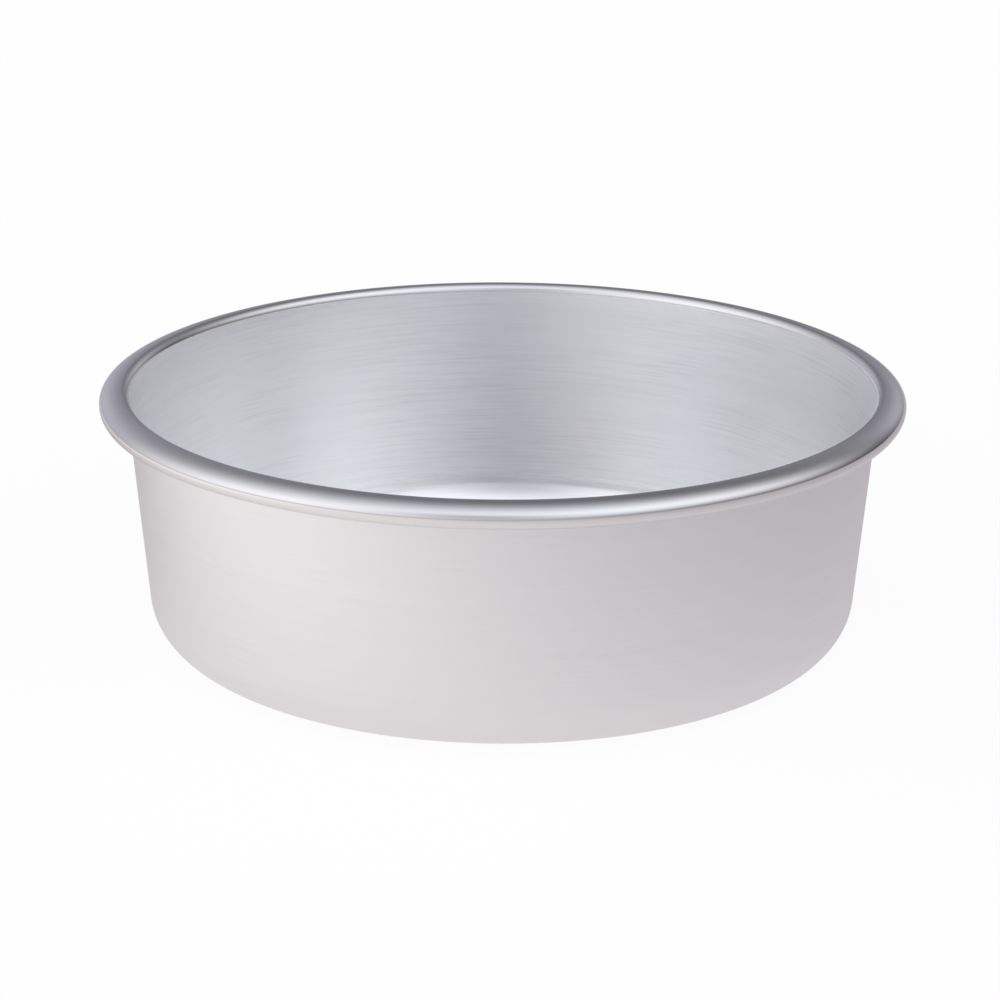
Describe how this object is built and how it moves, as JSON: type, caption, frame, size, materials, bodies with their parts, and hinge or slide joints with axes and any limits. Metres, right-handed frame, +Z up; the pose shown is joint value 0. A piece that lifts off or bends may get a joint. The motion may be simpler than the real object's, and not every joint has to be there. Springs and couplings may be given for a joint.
{
  "type": "cake pan",
  "caption": "Round seamless aluminium cake pan with a flat base, a rounded corner, a gently flared plain wall and an outward-rolled hollow edge.",
  "frame": {"origin": "centre of the base's underside, on the pan's axis", "axes": "+Z up along the pan's axis, out of its mouth; +X to the right and -Y to the front as pictured, though the pan is the same all round"},
  "size_m": [0.2592, 0.2592, 0.084],
  "materials": {
    "aluminium_sheet": "satin, with fine turning marks inside and a smoother rolled edge"
  },
  "bodies": {
    "root": {"pan_body": "aluminium_sheet"}
  },
  "joints": []
}
